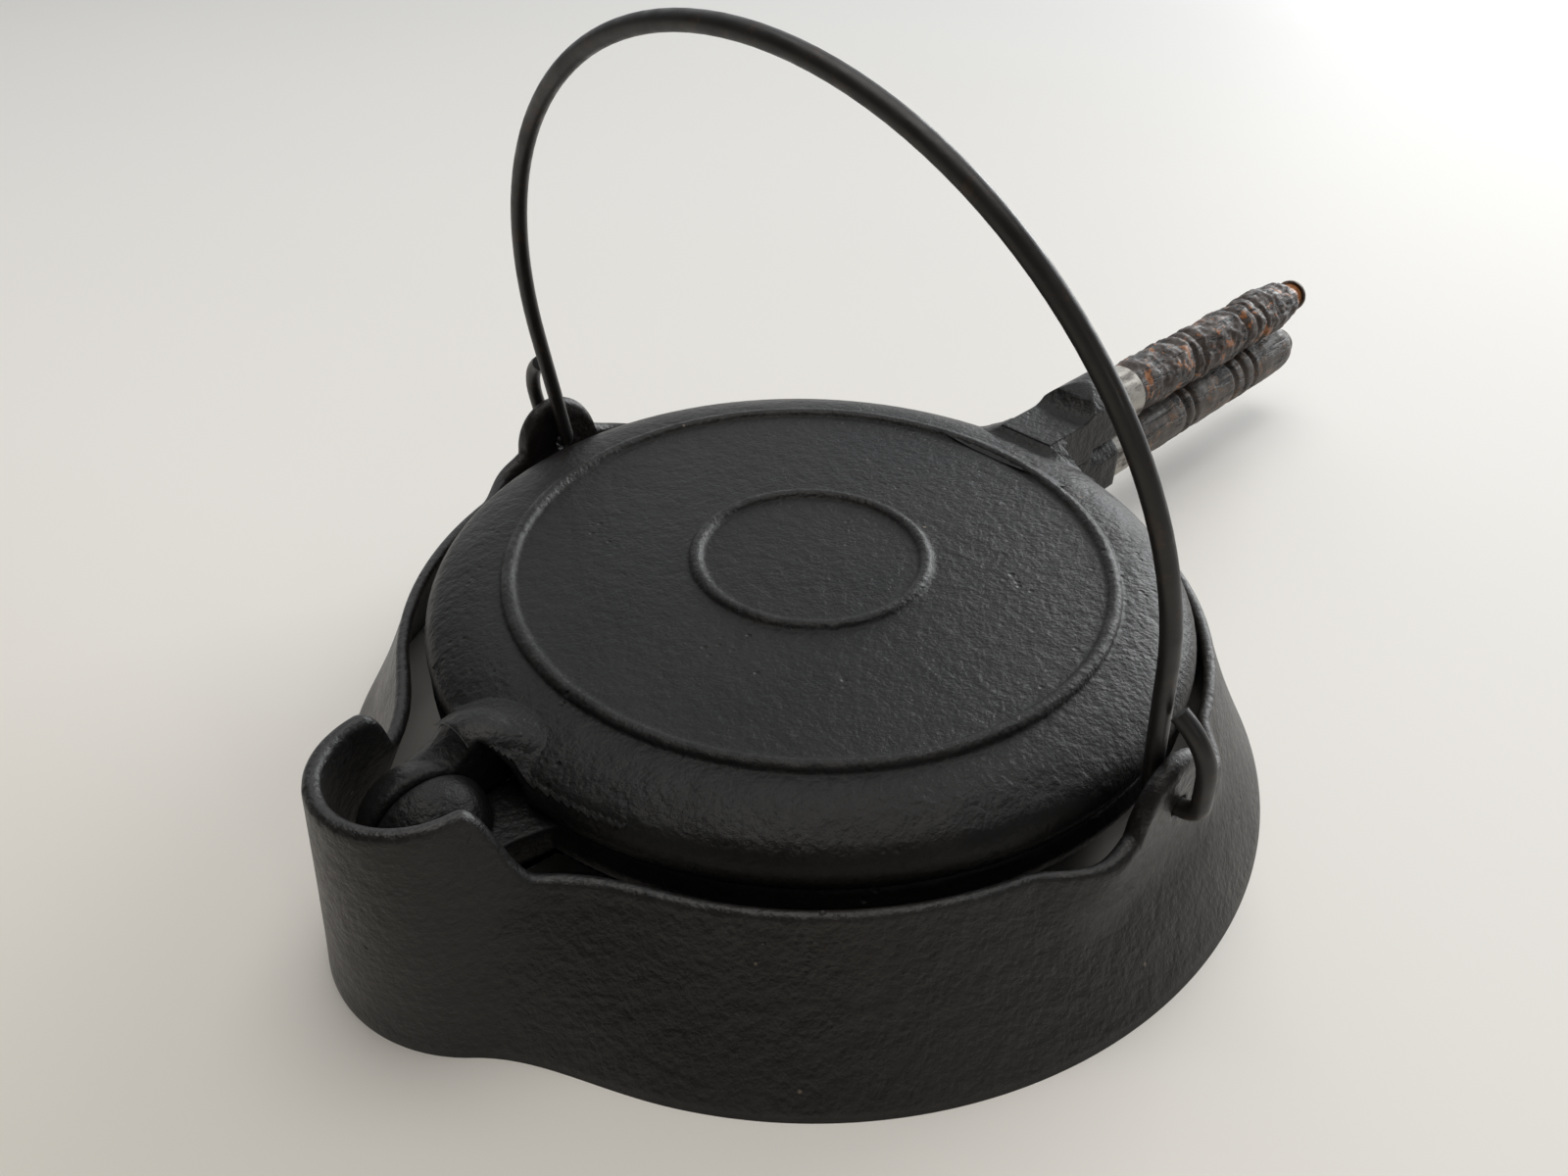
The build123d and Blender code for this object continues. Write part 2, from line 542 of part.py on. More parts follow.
def ball_seat(outside):
    """Half cup that carries the ball from below and behind."""
    front = -BALL_SETBACK - SEAT_FRONT_SETBACK
    under = SEAM_HEIGHT - CUP_RADIUS - SEAT_THICKNESS
    top = SEAM_HEIGHT - SEAT_BELOW_SEAM
    back = -BALL_SETBACK - 2 * LOBE_TOP_RADIUS
    outline = Polygon((front, under), (front, top), (back, top), (back, under - SEAT_SLOPE), align=None)
    block = extrude(Plane.XZ * outline, SEAT_HALF_WIDTH, both=True)
    return (block & outside) - UP * BALL_PLACE * Sphere(CUP_RADIUS)


def stand():
    lobe_outside = lobe(0)
    both_sides = (Rot(0, 0, 0), Rot(0, 0, 180))
    body = ring_outside() + lobe_outside + [turn * ear() for turn in both_sides]
    body = body - ring_inside() - lobe(LOBE_WALL) - lobe_rim_cut()
    body = body + horns() + ball_seat(lobe_outside)
    turning_room = UP * Rot(0, 90, 0) * Cylinder(NOTCH_RADIUS, FOOT_RADIUS + OVERCUT, align=FROM_FOOT)
    return body - turning_room - [turn * ear_hole() for turn in both_sides]


# ---- bail ----

def bail_side(side):
    """One side of the bail's line in its own plane, from the hook's tip to the start of the arch."""
    out = BAIL_RADIUS + HOOK_REACH
    turn_out = HOOK_REACH - HOOK_BEND - (EAR_THICKNESS - BEND_OVERLAP)
    tip = BAIL_RADIUS + WIRE_RADIUS + HOOK_TIP_GAP
    run_in = out - tip
    run_up = HOOK_TIP_HEIGHT - HOOK_STRAIGHT
    curl = (run_in ** 2 + run_up ** 2) / (2 * run_in)
    half_turn = math.asin(run_up / curl) / 2
    curl_middle = (out - curl * (1 - math.cos(half_turn)), HOOK_STRAIGHT + curl * math.sin(half_turn))
    short = 1 - math.sqrt(0.5)

    def at(y, height):
        return (side * y, height)

    return [
        ThreePointArc(at(tip, HOOK_TIP_HEIGHT), at(*curl_middle), at(out, HOOK_STRAIGHT)),
        Line(at(out, HOOK_STRAIGHT), at(out, turn_out)),
        ThreePointArc(at(out, turn_out), at(out - turn_out * short, turn_out * short), at(out - turn_out, 0)),
        Line(at(out - turn_out, 0), at(BAIL_RADIUS + HOOK_BEND, 0)),
        ThreePointArc(at(BAIL_RADIUS + HOOK_BEND, 0), at(BAIL_RADIUS + HOOK_BEND * short, HOOK_BEND * short),
                      at(BAIL_RADIUS, HOOK_BEND)),
        Line(at(BAIL_RADIUS, HOOK_BEND), at(BAIL_RADIUS, BAIL_LEG)),
    ]


def bail_wire():
    """One wire: arch, straight legs, a bend out through each ear and a hook back up."""
    arch = ThreePointArc((-BAIL_RADIUS, BAIL_LEG), (0, BAIL_LEG + BAIL_RADIUS), (BAIL_RADIUS, BAIL_LEG))
    path = Wire([Plane.YZ * edge for edge in bail_side(-1) + [arch] + bail_side(1)])
    section = Plane(origin=path.position_at(0), z_dir=path.tangent_at(0)) * Circle(WIRE_RADIUS)
    return Pos(0, 0, EAR_AXIS_HEIGHT) * Rot(0, -BAIL_LEAN, 0) * sweep(section, path)


# ---- handles, on the upper half; the lower ones are the same turned over ----

def along_grip(start, length, radius):
    return Pos(start, 0, GRIP_HEIGHT) * Rot(0, 90, 0) * Cylinder(radius, length, align=FROM_FOOT)


def grip():
    """Turned wood handle: tenon for the ferrule, slight swell, ring grooves, rounded end."""
    front = COLLAR_END + SEAT_FIT
    bore = ROD_RADIUS + SEAT_FIT
    shoulder = (GRIP_START, GRIP_RADIUS - GRIP_SWELL)
    swell_middle = (GRIP_START + GRIP_SWELL_RUN / 2, GRIP_RADIUS - GRIP_SWELL / 4)
    edges = [
        Line((front, bore), (front, TENON_RADIUS)),
        Line((front, TENON_RADIUS), (GRIP_START, TENON_RADIUS)),
        Line((GRIP_START, TENON_RADIUS), shoulder),
        ThreePointArc(shoulder, swell_middle, (GRIP_START + GRIP_SWELL_RUN, GRIP_RADIUS)),
    ]
    here = GRIP_START + GRIP_SWELL_RUN
    floor = GRIP_RADIUS - GROOVE_DEPTH
    for groove in PAIR_GROOVES + TRIPLE_GROOVES:
        middle = GRIP_START + groove
        first = middle - GROOVE_HALF_WIDTH
        last = middle + GROOVE_HALF_WIDTH
        edges += [
            Line((here, GRIP_RADIUS), (first, GRIP_RADIUS)),
            Line((first, GRIP_RADIUS), (middle - GROOVE_FLAT, floor)),
            Line((middle - GROOVE_FLAT, floor), (middle + GROOVE_FLAT, floor)),
            Line((middle + GROOVE_FLAT, floor), (last, GRIP_RADIUS)),
        ]
        here = last
    round_start = (GRIP_END - GRIP_RADIUS, GRIP_RADIUS)
    flat = WASHER_RADIUS + WASHER_MARGIN
    edges += [
        Line((here, GRIP_RADIUS), round_start),
        stepped(TangentArc(round_start, (GRIP_END, flat), tangent=(1, 0)), 5),
        Line((GRIP_END, flat), (GRIP_END, bore)),
        Line((GRIP_END, bore), (front, bore)),
    ]
    return Pos(0, 0, GRIP_HEIGHT) * revolve(make_face(edges), Axis.X)


def ferrule():
    start = COLLAR_END + SEAT_FIT
    length = FERRULE_LENGTH - 2 * SEAT_FIT
    bore = TENON_RADIUS + SEAT_FIT
    return along_grip(start, length, bore + FERRULE_WALL) - along_grip(start, length, bore)


def rod():
    start = COLLAR_END - ROD_THREAD_DEPTH + SEAT_FIT
    end = GRIP_END + SEAT_FIT + WASHER_THICKNESS + NUT_HEIGHT / 2
    return along_grip(start, end - start, ROD_RADIUS)


def end_nut():
    """Washer and domed nut on the rod's end, as one riveted-looking piece."""
    start = GRIP_END + SEAT_FIT
    face = start + WASHER_THICKNESS
    crest = (face + NUT_HEIGHT, 0)
    dome_radius = (NUT_RADIUS ** 2 + NUT_HEIGHT ** 2) / (2 * NUT_HEIGHT)
    half_turn = math.asin(NUT_RADIUS / dome_radius) / 2
    middle = (crest[0] - dome_radius * (1 - math.cos(half_turn)), dome_radius * math.sin(half_turn))
    section = make_face([
        Line((start, 0), (start, WASHER_RADIUS)),
        Line((start, WASHER_RADIUS), (face, WASHER_RADIUS)),
        Line((face, WASHER_RADIUS), (face, NUT_RADIUS)),
        stepped(ThreePointArc((face, NUT_RADIUS), middle, crest), 4),
        Line(crest, (start, 0)),
    ])
    turned = Pos(0, 0, GRIP_HEIGHT) * revolve(section, Axis.X)
    bore_depth = WASHER_THICKNESS + NUT_HEIGHT / 2 + SEAT_FIT
    return turned - along_grip(start, bore_depth, ROD_RADIUS + SEAT_FIT)


# ---- build ----

def upper(shape):
    return UP * shape


def lower(shape):
    return UP * Rot(180, 0, 0) * shape


nodes = {
    "base_stand": stand(),
    "bail": bail_wire(),
    "upper_paddle": upper(casting(UPPER_BALL_RADIUS, False)),
    "lower_paddle": lower(casting(LOWER_BALL_RADIUS, True)),
}
for side_name, place in (("upper", upper), ("lower", lower)):
    nodes[side_name + "_ferrule"] = place(ferrule())
    nodes[side_name + "_grip"] = place(grip())
    nodes[side_name + "_rod"] = place(rod())
    nodes[side_name + "_end_nut"] = place(end_nut())

for name, shape in nodes.items():
    export_step(shape, "parts/" + name + ".step")
    print(name, "solids", len(shape.solids()), "volume", round(shape.volume))
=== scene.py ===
import math

import bmesh
import bpy
import numpy as np
from mathutils import Matrix, Vector, noise
from mathutils.bvhtree import BVHTree


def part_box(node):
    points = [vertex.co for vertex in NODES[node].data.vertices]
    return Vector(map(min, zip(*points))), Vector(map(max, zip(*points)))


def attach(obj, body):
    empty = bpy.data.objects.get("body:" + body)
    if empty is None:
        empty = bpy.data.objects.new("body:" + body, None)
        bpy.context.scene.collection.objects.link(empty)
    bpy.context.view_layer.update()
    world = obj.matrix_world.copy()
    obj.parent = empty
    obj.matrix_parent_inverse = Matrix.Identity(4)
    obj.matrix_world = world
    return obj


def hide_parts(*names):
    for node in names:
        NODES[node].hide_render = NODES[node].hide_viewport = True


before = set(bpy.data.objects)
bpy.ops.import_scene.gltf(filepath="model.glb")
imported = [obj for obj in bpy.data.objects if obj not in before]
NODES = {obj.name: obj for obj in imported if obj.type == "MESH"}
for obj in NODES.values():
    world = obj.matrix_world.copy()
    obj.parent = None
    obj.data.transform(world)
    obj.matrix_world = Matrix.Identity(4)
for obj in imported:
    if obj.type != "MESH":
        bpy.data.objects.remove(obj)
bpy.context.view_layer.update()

MM = 0.001

# ---- the photograph's view: camera place in metres, angles in degrees ----

CAMERA_PLACE = (-0.1796, -0.1700, 0.2220)
CAMERA_YAW = 44.69
CAMERA_PITCH = 36.25
CAMERA_ROLL = 0.99
FOCAL_PIXELS = 1249.1
FRAME_WIDTH = 1600
SENSOR_WIDTH = 36.0

# ---- places read from the frame ----

STAND_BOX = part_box("base_stand")
SEAM_Z = (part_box("upper_paddle")[0].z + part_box("lower_paddle")[1].z) / 2
EDGE_SAMPLES = 6


# ---- node helpers ----

class Shader:
    """A material's node tree with short calls for the nodes used here."""

    def __init__(self, name):
        self.material = bpy.data.materials.new(name)
        self.material.use_nodes = True
        self.tree = self.material.node_tree
        self.tree.nodes.clear()
        self.output = self.tree.nodes.new("ShaderNodeOutputMaterial")
        self.principled = self.tree.nodes.new("ShaderNodeBsdfPrincipled")
        self.tree.links.new(self.principled.outputs["BSDF"], self.output.inputs["Surface"])
        self.coords = self.tree.nodes.new("ShaderNodeTexCoord")

    def link(self, output, target):
        self.tree.links.new(output, target)

    def put(self, socket, value):
        if isinstance(value, bpy.types.NodeSocket):
            self.link(value, socket)
        else:
            socket.default_value = value

    def set(self, **values):
        names = {"base": "Base Color", "rough": "Roughness", "metal": "Metallic", "bump": "Normal",
                 "specular": "Specular IOR Level"}
        for key, value in values.items():
            self.put(self.principled.inputs[names[key]], value)

    def place(self, stretch):
        """Object coordinates, stretched: a share under 1 draws a pattern out along that axis."""
        mapping = self.tree.nodes.new("ShaderNodeMapping")
        mapping.inputs["Scale"].default_value = stretch
        self.link(self.coords.outputs["Object"], mapping.inputs["Vector"])
        return mapping.outputs["Vector"]

    def noise(self, size, detail=3.0, rough=0.5, where=None, warp=0.0):
        """Cloudy noise from 0 to 1; size is the width of its lumps in metres."""
        node = self.tree.nodes.new("ShaderNodeTexNoise")
        node.inputs["Scale"].default_value = 1 / size
        node.inputs["Detail"].default_value = detail
        node.inputs["Roughness"].default_value = rough
        node.inputs["Distortion"].default_value = warp
        self.link(where or self.coords.outputs["Object"], node.inputs["Vector"])
        return node.outputs["Fac"]

    def cells(self, size):
        """Distance to the nearest of scattered points about size metres apart."""
        node = self.tree.nodes.new("ShaderNodeTexVoronoi")
        node.feature = "F1"
        node.inputs["Scale"].default_value = 1 / size
        self.link(self.coords.outputs["Object"], node.inputs["Vector"])
        return node.outputs["Distance"]

    def math(self, kind, a, b=0.0):
        node = self.tree.nodes.new("ShaderNodeMath")
        node.operation = kind
        self.put(node.inputs[0], a)
        self.put(node.inputs[1], b)
        return node.outputs[0]

    def fade(self, value, low, high, to_low=0.0, to_high=1.0, smooth=True):
        """to_low where value is under low, to_high where it is over high, eased between."""
        node = self.tree.nodes.new("ShaderNodeMapRange")
        node.interpolation_type = "SMOOTHSTEP" if smooth else "LINEAR"
        self.put(node.inputs["Value"], value)
        node.inputs["From Min"].default_value = low
        node.inputs["From Max"].default_value = high
        node.inputs["To Min"].default_value = to_low
        node.inputs["To Max"].default_value = to_high
        return node.outputs["Result"]

    def mix(self, amount, first, second):
        node = self.tree.nodes.new("ShaderNodeMix")
        node.data_type = "RGBA"
        self.put(node.inputs["Factor"], amount)
        # the colour sockets of this node are numbers 6 and 7 going in and 2 coming out
        for socket, value in ((node.inputs[6], first), (node.inputs[7], second)):
            self.put(socket, (*value, 1) if isinstance(value, tuple) else value)
        return node.outputs[2]

    def axes(self):
        node = self.tree.nodes.new("ShaderNodeSeparateXYZ")
        self.link(self.coords.outputs["Object"], node.inputs[0])
        return node.outputs

    def bump(self, height, depth, strength=1.0, onto=None):
        """depth is how far a height of 1 stands out, in metres."""
        node = self.tree.nodes.new("ShaderNodeBump")
        node.inputs["Strength"].default_value = strength
        node.inputs["Distance"].default_value = depth
        self.put(node.inputs["Height"], height)
        if onto:
            self.link(onto, node.inputs["Normal"])
        return node.outputs["Normal"]

    def soft_edges(self, radius):
        """Normal that rounds the mesh's sharp edges, as a casting's are."""
        node = self.tree.nodes.new("ShaderNodeBevel")
        node.samples = EDGE_SAMPLES
        node.inputs["Radius"].default_value = radius
        return node.outputs["Normal"]


# ---- materials ----

CAST_EDGE = 1.6 * MM


def cast_iron(name, dark, pale, brown, crest_height, gloss):
    """Seasoned cast iron: granular skin, shallow pits, brown patches, polished high edges."""
    s = Shader(name)
    z = s.axes()[2]
    grain = s.noise(1.7 * MM, detail=4, rough=0.62)
    orange_peel = s.noise(5.0 * MM, detail=2, rough=0.5)
    cloud = s.noise(38 * MM, detail=5, rough=0.6)
    wide = s.noise(95 * MM, detail=2, rough=0.5)
    patches = s.fade(s.noise(11 * MM, detail=5, rough=0.68, warp=0.4), 0.42, 0.66)
    pits = s.fade(s.cells(3.1 * MM), 0.05, 0.30)
    pit_places = s.fade(s.noise(21 * MM, detail=3, rough=0.6), 0.56, 0.70)
    tone = s.fade(cloud, 0.32, 0.70)
    colour = s.mix(tone, dark, pale)
    colour = s.mix(s.math("MULTIPLY", s.fade(wide, 0.38, 0.62), 0.7), colour, brown)
    colour = s.mix(s.math("MULTIPLY", patches, 0.28), colour, tuple(0.55 * c for c in dark))
    # high edges are rubbed a little brighter and smoother
    height = s.math("ABSOLUTE", s.math("SUBTRACT", z, SEAM_Z))
    crest = s.fade(height, crest_height - 0.9 * MM, crest_height - 0.1 * MM)
    rub = s.math("MULTIPLY", crest, s.fade(s.noise(6 * MM, detail=3), 0.35, 0.6))
    colour = s.mix(s.math("MULTIPLY", rub, 0.55), colour, tuple(1.9 * c for c in pale))
    # tiny pale specks of lint and lime
    speck = s.fade(s.cells(17 * MM), 0.022, 0.034, 1.0, 0.0)
    colour = s.mix(s.math("MULTIPLY", speck, 0.6), colour, (0.22, 0.18, 0.13))
    rough = s.fade(s.math("ADD", s.math("MULTIPLY", cloud, 0.6), s.math("MULTIPLY", grain, 0.4)),
                   0.35, 0.68, 0.31, 0.47)
    rough = s.math("SUBTRACT", rough, s.math("MULTIPLY", rub, 0.10))
    skin = s.bump(orange_peel, 0.45 * MM, onto=s.soft_edges(CAST_EDGE))
    skin = s.bump(grain, 0.42 * MM, onto=skin)
    hollows = s.math("MULTIPLY", s.math("SUBTRACT", pits, 1.0), pit_places)
    skin = s.bump(hollows, 0.40 * MM, onto=skin)
    s.set(base=colour, rough=rough, metal=0.0, bump=skin, specular=gloss)
    return s.material


def wire_iron():
    """Drawn wire, blackened, with brown rust showing through in small marks."""
    s = Shader("bail_wire")
    marks = s.fade(s.noise(5 * MM, detail=5, rough=0.7), 0.55, 0.70)
    colour = s.mix(s.noise(14 * MM, detail=4), (0.016, 0.015, 0.015), (0.034, 0.031, 0.029))
    colour = s.mix(s.math("MULTIPLY", marks, 0.55), colour, (0.070, 0.040, 0.024))
    rough = s.fade(s.noise(6 * MM, detail=3), 0.3, 0.7, 0.34, 0.52)
    skin = s.bump(s.noise(2.2 * MM, detail=4, rough=0.6), 0.10 * MM, 0.6)
    s.set(base=colour, rough=rough, metal=0.25, bump=skin)
    return s.material


def dirty_steel(name, clean, dirt, amount):
    """Thin sheet steel, dull grey, stained dark by smoke and handling."""
    s = Shader(name)
    along = s.place(stretch=(0.35, 1, 1))
    stain = s.fade(s.noise(6 * MM, detail=5, rough=0.7, where=along), 0.5 - amount, 0.72 - amount)
    colour = s.mix(stain, clean, dirt)
    rough = s.fade(s.noise(3 * MM, detail=3), 0.3, 0.7, 0.38, 0.62)
    skin = s.bump(s.noise(1.4 * MM, detail=3), 0.06 * MM, 0.5)
    s.set(base=colour, rough=rough, metal=0.65, bump=skin)
    return s.material


def wood(name, char, body, bare, wear, crack_depth, tip):
    """Turned wood handle, charred or worn: long grain, cracks, bare wood in patches and at the tip."""
    s = Shader(name)
    x = s.axes()[0]
    long_grain = s.place(stretch=(0.10, 1, 1))
    fibre = s.noise(1.1 * MM, detail=5, rough=0.65, where=long_grain)
    split_grain = s.place(stretch=(0.16, 1, 1))
    cracks = s.fade(s.noise(2.6 * MM, detail=4, rough=0.7, where=split_grain), 0.36, 0.50)
    burnt_places = s.place(stretch=(0.5, 1, 1))
    burn = s.fade(s.noise(16 * MM, detail=5, rough=0.65, where=burnt_places), 0.50 - wear, 0.66 - wear)
    rub = s.fade(s.noise(6 * MM, detail=5, rough=0.68), 0.55, 0.62)
    end = s.fade(s.math("ADD", x, s.math("MULTIPLY", s.noise(4 * MM), 6 * MM)), tip, tip + 3 * MM)
    colour = s.mix(fibre, tuple(0.55 * c for c in body), body)
    colour = s.mix(burn, char, colour)
    colour = s.mix(cracks, tuple(0.4 * c for c in char), colour)
    colour = s.mix(s.math("MULTIPLY", rub, wear), colour, bare)
    colour = s.mix(end, colour, bare)
    rough = s.fade(fibre, 0.3, 0.7, 0.40, 0.70)
    skin = s.bump(cracks, crack_depth, 0.7)
    skin = s.bump(fibre, 0.12 * MM, 0.6, onto=skin)
    s.set(base=colour, rough=rough, metal=0.0, bump=skin)
    return s.material


def dress(node, material):
    for slot in NODES[node].material_slots:
        slot.material = material


# height over or under the seam from which a casting is rubbed; the stand stays below its own
PAN_CREST = 15.6 * MM
STAND_CREST = 50 * MM
stand_iron = cast_iron("stand_iron", (0.0075, 0.0070, 0.0068), (0.016, 0.0150, 0.0142),
                       (0.017, 0.0125, 0.0105), STAND_CREST, 0.42)
pan_iron = cast_iron("pan_iron", (0.0055, 0.0053, 0.0052), (0.0115, 0.0110, 0.0105),
                     (0.0105, 0.0085, 0.0072), PAN_CREST, 0.20)
dress("upper_paddle", pan_iron)
dress("lower_paddle", pan_iron)
dress("bail", wire_iron())
ferrule = dirty_steel("ferrule_steel", (0.42, 0.40, 0.36), (0.07, 0.055, 0.045), 0.05)
rod_steel = dirty_steel("rod_steel", (0.22, 0.20, 0.18), (0.06, 0.045, 0.035), 0.10)
for side in ("upper", "lower"):
    dress(side + "_ferrule", ferrule)
    dress(side + "_rod", rod_steel)
    dress(side + "_end_nut", rod_steel)
# where along the handles the bare wood of a grip's tip starts; the lower one has none
UPPER_BARE_TIP = 247.5 * MM
LOWER_BARE_TIP = 262 * MM
charred_wood = wood("charred_wood", (0.016, 0.015, 0.016), (0.055, 0.036, 0.027),
                    (0.34, 0.125, 0.035), 0.85, 0.5 * MM, UPPER_BARE_TIP)
worn_wood = wood("worn_wood", (0.036, 0.031, 0.028), (0.095, 0.075, 0.062),
                 (0.24, 0.125, 0.060), 0.60, 0.3 * MM, LOWER_BARE_TIP)


# ---- the ring stand, as one smooth casting ----

LOBE_RISE = 17.5 * MM
LOBE_TOP = STAND_BOX[1].z
RIM_HEIGHT = LOBE_TOP - LOBE_RISE
RING_FOOT = 118.4 * MM                         # outer radii of the ring
RING_RIM = 99.5 * MM
NOSE_FOOT = (-96.6 * MM, 37.0 * MM, 47.0)      # place of the lobe's nose along X, radius, half angle
NOSE_TOP = (-109.9 * MM, 19.5 * MM, 84.0)
JOIN_FOOT = 33.0                               # degrees from the lobe to where it meets the ring
JOIN_TOP = 27.0
PULL_FOOT = (14 * MM, 17 * MM)                 # how far the flare follows the nose and the ring
PULL_TOP = (15 * MM, 22 * MM)
RIM_FALL = (-114 * MM, -102 * MM)              # where the rim falls from the lobe to the ring
LOBE_BLEND = (92 * MM, 108 * MM)               # behind the ring's centre, from ring wall to lobe wall
LOBE_SIDE = -90 * MM                           # the rim follows the lobe behind this
HANDLE_SIDE = 80 * MM                          # and the notch ahead of this
WALL = 3.0 * MM
WALL_BOW = 0.8 * MM
LOBE_WALL = 3.7 * MM
EAR_AXIS = 42.2 * MM
EAR_FACE = 105.0 * MM
EAR_RADIUS = 13.0 * MM
EAR_REACH = 34.0 * MM
EAR_THICK = 4.4 * MM
EAR_HOLE = 2.7 * MM
EAR_FLAT = 17 * MM                             # half width of the ear's flat face
EAR_ZONE = 60 * MM
EAR_SWELL = (16 * MM, 32 * MM)                 # heights between which the wall swells to the ear
EAR_FULL_HEIGHT = 40 * MM
EAR_HOLLOW = 2.6                               # how hollow the ear's outline runs down to the rim
EAR_LEVEL = 0.7                                # share of the lobe's height where the ear is measured
NOTCH_RADIUS = 17.28 * MM
NOTCH_EDGE = 0.985 * NOTCH_RADIUS
HORN_TOP = 42.0 * MM
HORN_EDGE = 18.3 * MM
HORN_FOOT = 25.0 * MM
OUTLINE_STEPS = (26, 34, 560)                  # along the nose, the flare and the ring
WALL_ROWS = 22
LIP_STEPS = 6


def ease(value, low, high):
    """From 0 at low to 1 at high, with a soft start and end."""
    t = max(0.0, min(1.0, (value - low) / (high - low)))
    return t * t * (3 - 2 * t)


def bezier(points, t):
    a, b, c, d = points
    s = 1 - t
    return a * s ** 3 + b * 3 * s * s * t + c * 3 * s * t * t + d * t ** 3


def half_outline(nose, ring_radius, join, pull):
    """Plan from the lobe's nose round to the notch: nose arc, smooth flare, ring arc."""
    setback, radius, half_angle = nose
    nose_steps, flare_steps, ring_steps = OUTLINE_STEPS
    end = math.radians(half_angle)
    points = []
    for i in range(nose_steps):
        turn = end * i / nose_steps
        points.append(Vector((setback - radius * math.cos(turn), radius * math.sin(turn))))
    start = Vector((setback - radius * math.cos(end), radius * math.sin(end)))
    leave = Vector((math.sin(end), math.cos(end)))
    turn = math.radians(180 - join)
    meet = ring_radius * Vector((math.cos(turn), math.sin(turn)))
    arrive = Vector((math.sin(turn), -math.cos(turn)))
    handles = (start, start + leave * pull[0], meet - arrive * pull[1], meet)
    for i in range(flare_steps):
        points.append(bezier(handles, i / flare_steps))
    for i in range(ring_steps + 1):
        left = turn * (1 - i / ring_steps)
        points.append(ring_radius * Vector((math.cos(left), math.sin(left))))
    return points


def ear_top(x):
    """Height of the ear's outline at x along the ear."""
    x = abs(x)
    if x < EAR_RADIUS:
        return EAR_AXIS + math.sqrt(EAR_RADIUS ** 2 - x * x)
    drop = 1 - min(1.0, (x - EAR_RADIUS) / (EAR_REACH - EAR_RADIUS))
    return RIM_HEIGHT + (EAR_AXIS - RIM_HEIGHT) * drop ** EAR_HOLLOW


def notch_top(y):
    """Height of the rim near the handles: horns beside the round notch."""
    y = abs(y)
    if y < NOTCH_EDGE:
        return SEAM_Z - math.sqrt(NOTCH_RADIUS ** 2 - y * y)
    if y < HORN_EDGE:
        return HORN_TOP
    return RIM_HEIGHT + (HORN_TOP - RIM_HEIGHT) * (1 - ease(y, HORN_EDGE, HORN_FOOT))


def rim_height(x, y):
    if x < LOBE_SIDE:
        return LOBE_TOP + (RIM_HEIGHT - LOBE_TOP) * ease(x, *RIM_FALL)
    if x > HANDLE_SIDE:
        return notch_top(y)
    return max(RIM_HEIGHT, ear_top(x))


def outward_at(ribs, i):
    """Direction in plan out of the wall, from the ribs before and after."""
    before, after = ribs[i - 1], ribs[(i + 1) % len(ribs)]
    along = (after[1] - before[1] + after[0] - before[0]).normalized()
    outward = Vector((along.y, -along.x))
    return -outward if outward.dot(ribs[i][0]) < 0 else outward


def rib_points(foot, top, outward):
    """One section of the wall, from the outside foot over the rim to the inside foot."""
    in_lobe = ease(-foot.x, *LOBE_BLEND)
    rim = rim_height(*foot.lerp(top, RIM_HEIGHT / LOBE_TOP))
    near_ear = 0.0
    if abs(foot.x) < EAR_ZONE:
        beside = foot.lerp(top, EAR_LEVEL).x
        near_ear = 1 - ease(abs(beside), EAR_FLAT, EAR_REACH)
        rim = max(RIM_HEIGHT, ear_top(beside))
    ear_share = near_ear * ease(rim, RIM_HEIGHT, EAR_FULL_HEIGHT)
    thick = WALL + (LOBE_WALL - WALL) * in_lobe + (EAR_THICK - WALL) * ear_share
    lip = thick / 2
    outside = []
    for k in range(WALL_ROWS + 1):
        z = (rim - lip) * k / WALL_ROWS
        spot = foot.lerp(top, z / LOBE_TOP)
        bow = WALL_BOW * math.sin(math.pi * min(1, z / RIM_HEIGHT)) * (1 - in_lobe)
        spot = spot - outward * bow
        swell = near_ear * ease(z, *EAR_SWELL)
        if swell > 0:
            spot.y += (math.copysign(EAR_FACE, spot.y) - spot.y) * swell
        outside.append((spot.x, spot.y, z))
    rounded = []
    for k in range(1, LIP_STEPS):
        turn = math.pi * k / LIP_STEPS
        inward = lip * (1 - math.cos(turn))
        x, y, z = outside[-1]
        rounded.append((x - outward.x * inward, y - outward.y * inward, z + lip * math.sin(turn)))
    inside = [(x - outward.x * thick, y - outward.y * thick, z) for x, y, z in reversed(outside)]
    return outside + rounded + inside


def stand_mesh():
    """The stand's wall: its sections joined all the way round."""
    foot = half_outline(NOSE_FOOT, RING_FOOT, JOIN_FOOT, PULL_FOOT)
    slope = (RING_FOOT - RING_RIM) / RIM_HEIGHT
    top = half_outline(NOSE_TOP, RING_FOOT - slope * LOBE_TOP, JOIN_TOP, PULL_TOP)
    half = list(zip(foot, top))
    mirrored = [(Vector((f.x, -f.y)), Vector((t.x, -t.y))) for f, t in half[1:-1]]
    ribs = half + mirrored[::-1]
    shape = bmesh.new()
    loops = []
    for i, (foot_spot, top_spot) in enumerate(ribs):
        section = rib_points(foot_spot, top_spot, outward_at(ribs, i))
        loops.append([shape.verts.new(point) for point in section])
    for i, loop in enumerate(loops):
        after = loops[(i + 1) % len(loops)]
        for k in range(len(loop)):
            n = (k + 1) % len(loop)
            shape.faces.new((loop[k], after[k], after[n], loop[n])).smooth = True
    bmesh.ops.recalc_face_normals(shape, faces=shape.faces)
    return finished_mesh(shape, "stand")


def finished_mesh(shape, name):
    mesh = bpy.data.meshes.new(name)
    shape.to_mesh(mesh)
    shape.free()
    return mesh


